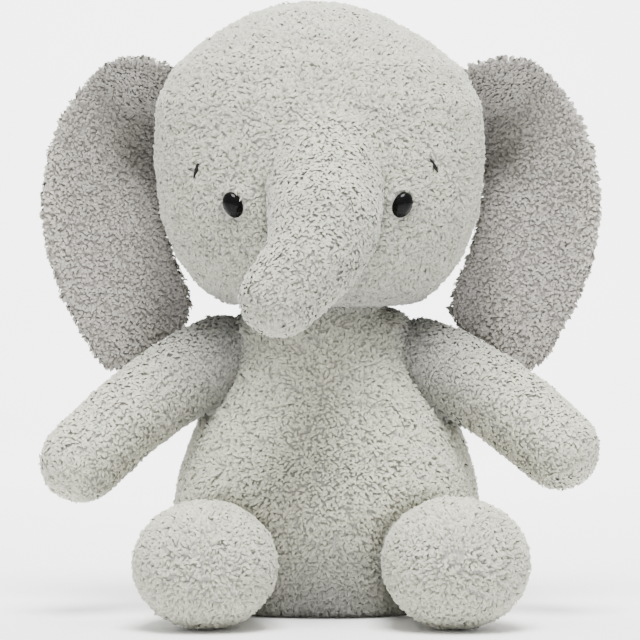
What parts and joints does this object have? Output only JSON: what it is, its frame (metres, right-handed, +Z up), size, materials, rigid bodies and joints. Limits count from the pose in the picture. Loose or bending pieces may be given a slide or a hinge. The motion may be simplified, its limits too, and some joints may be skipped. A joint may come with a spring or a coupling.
{
  "type": "stuffed elephant",
  "caption": "Seated plush elephant with a domed head, floppy ears, short hanging trunk, bead eyes, splayed arms and stubby legs; head, trunk, ears, limbs and tail flex at sewn joints.",
  "frame": {"origin": "centre of the footprint of the bounding box, on the floor the toy sits on", "axes": "+Z up; the toy faces -Y; its own left side is +X"},
  "size_m": [0.2252, 0.1769, 0.2412],
  "materials": {
    "plush": "short curly pile plush, light warm grey",
    "ear_lining": "clumped sherpa pile, slightly pinkish grey",
    "plain_cloth": "short pile worn flat, grey",
    "fibre": "loose white polyester fibre",
    "bean_cloth": "plain woven cotton pouch of pellets",
    "eye_black": "polished black",
    "nylon": "natural nylon",
    "black_thread": "black embroidery thread",
    "sewing_thread": "grey polyester thread"
  },
  "bodies": {
    "torso": {"torso_front_left": "plush", "torso_front_right": "plush", "torso_back_left": "plush", "torso_back_right": "plush", "seat_panel": "plain_cloth", "torso_stuffing": "fibre", "bean_bag": "bean_cloth"},
    "neck": {"neck_stuffing": "fibre", "neck_seam_thread": "sewing_thread"},
    "head": {"head_side_left": "plush", "head_side_right": "plush", "head_gusset": "plush", "chin_panel": "plush", "nape_panel": "plush", "head_stuffing": "fibre", "eye_left": "eye_black", "eye_right": "eye_black", "eye_washer_left": "nylon", "eye_washer_right": "nylon", "eyebrow_left": "black_thread", "eyebrow_right": "black_thread"},
    "trunk": {"trunk_top_panel": "plush", "trunk_under_panel": "plush", "trunk_stuffing": "fibre"},
    "tail": {"tail": "plush"},
    "ear_left": {"ear_left_front_panel": "ear_lining", "ear_left_back_panel": "plush"},
    "arm_left": {"arm_left_upper_panel": "plush", "arm_left_under_panel": "plush", "arm_left_stuffing": "fibre", "arm_left_seam_thread": "sewing_thread"},
    "leg_left": {"leg_left_outer_panel": "plush", "leg_left_inner_panel": "plush", "leg_left_stuffing": "fibre", "leg_left_seam_thread": "sewing_thread"},
    "ear_right": {"ear_right_front_panel": "ear_lining", "ear_right_back_panel": "plush"},
    "arm_right": {"arm_right_upper_panel": "plush", "arm_right_under_panel": "plush", "arm_right_stuffing": "fibre", "arm_right_seam_thread": "sewing_thread"},
    "leg_right": {"leg_right_outer_panel": "plush", "leg_right_inner_panel": "plush", "leg_right_stuffing": "fibre", "leg_right_seam_thread": "sewing_thread"}
  },
  "joints": [
    {"name": "neck_turn", "type": "hinge", "parent": "torso", "child": "neck", "pos_m": [0, 0.0147, 0.119], "axis": [0, 0, 1], "range_deg": [-15, 15], "stiffness_Nm_per_rad": 1.5},
    {"name": "head_nod", "type": "hinge", "parent": "neck", "child": "head", "pos_m": [0, 0.0147, 0.119], "axis": [1, 0, 0], "range_deg": [-8, 10], "stiffness_Nm_per_rad": 2.5},
    {"name": "trunk_lift", "type": "hinge", "parent": "head", "child": "trunk", "pos_m": [0.001, -0.0378, 0.155], "axis": [-1, 0, 0], "range_deg": [-8, 18], "stiffness_Nm_per_rad": 0.3},
    {"name": "ear_left_flap", "type": "hinge", "parent": "head", "child": "ear_left", "pos_m": [0.0665, 0.0242, 0.181], "axis": [0, 0, 1], "range_deg": [-8, 20], "stiffness_Nm_per_rad": 0.12},
    {"name": "arm_left_raise", "type": "hinge", "parent": "torso", "child": "arm_left", "pos_m": [0.05, 0.0072, 0.0955], "axis": [0, -1, 0], "range_deg": [-5, 28], "stiffness_Nm_per_rad": 0.3},
    {"name": "leg_left_raise", "type": "hinge", "parent": "torso", "child": "leg_left", "pos_m": [0.0365, -0.0178, 0.0245], "axis": [-1, 0, 0], "range_deg": [-10, 15], "stiffness_Nm_per_rad": 0.6},
    {"name": "ear_right_flap", "type": "hinge", "parent": "head", "child": "ear_right", "pos_m": [-0.0665, 0.0242, 0.181], "axis": [0, 0, -1], "range_deg": [-8, 20], "stiffness_Nm_per_rad": 0.12},
    {"name": "arm_right_raise", "type": "hinge", "parent": "torso", "child": "arm_right", "pos_m": [-0.05, 0.0072, 0.0955], "axis": [0, 1, 0], "range_deg": [-5, 28], "stiffness_Nm_per_rad": 0.3},
    {"name": "leg_right_raise", "type": "hinge", "parent": "torso", "child": "leg_right", "pos_m": [-0.0365, -0.0178, 0.0245], "axis": [-1, 0, 0], "range_deg": [-10, 15], "stiffness_Nm_per_rad": 0.6},
    {"name": "tail_lift", "type": "hinge", "parent": "torso", "child": "tail", "pos_m": [0.002, 0.0738, 0.0335], "axis": [1, 0, 0], "range_deg": [-5, 60], "stiffness_Nm_per_rad": 0.02}
  ]
}
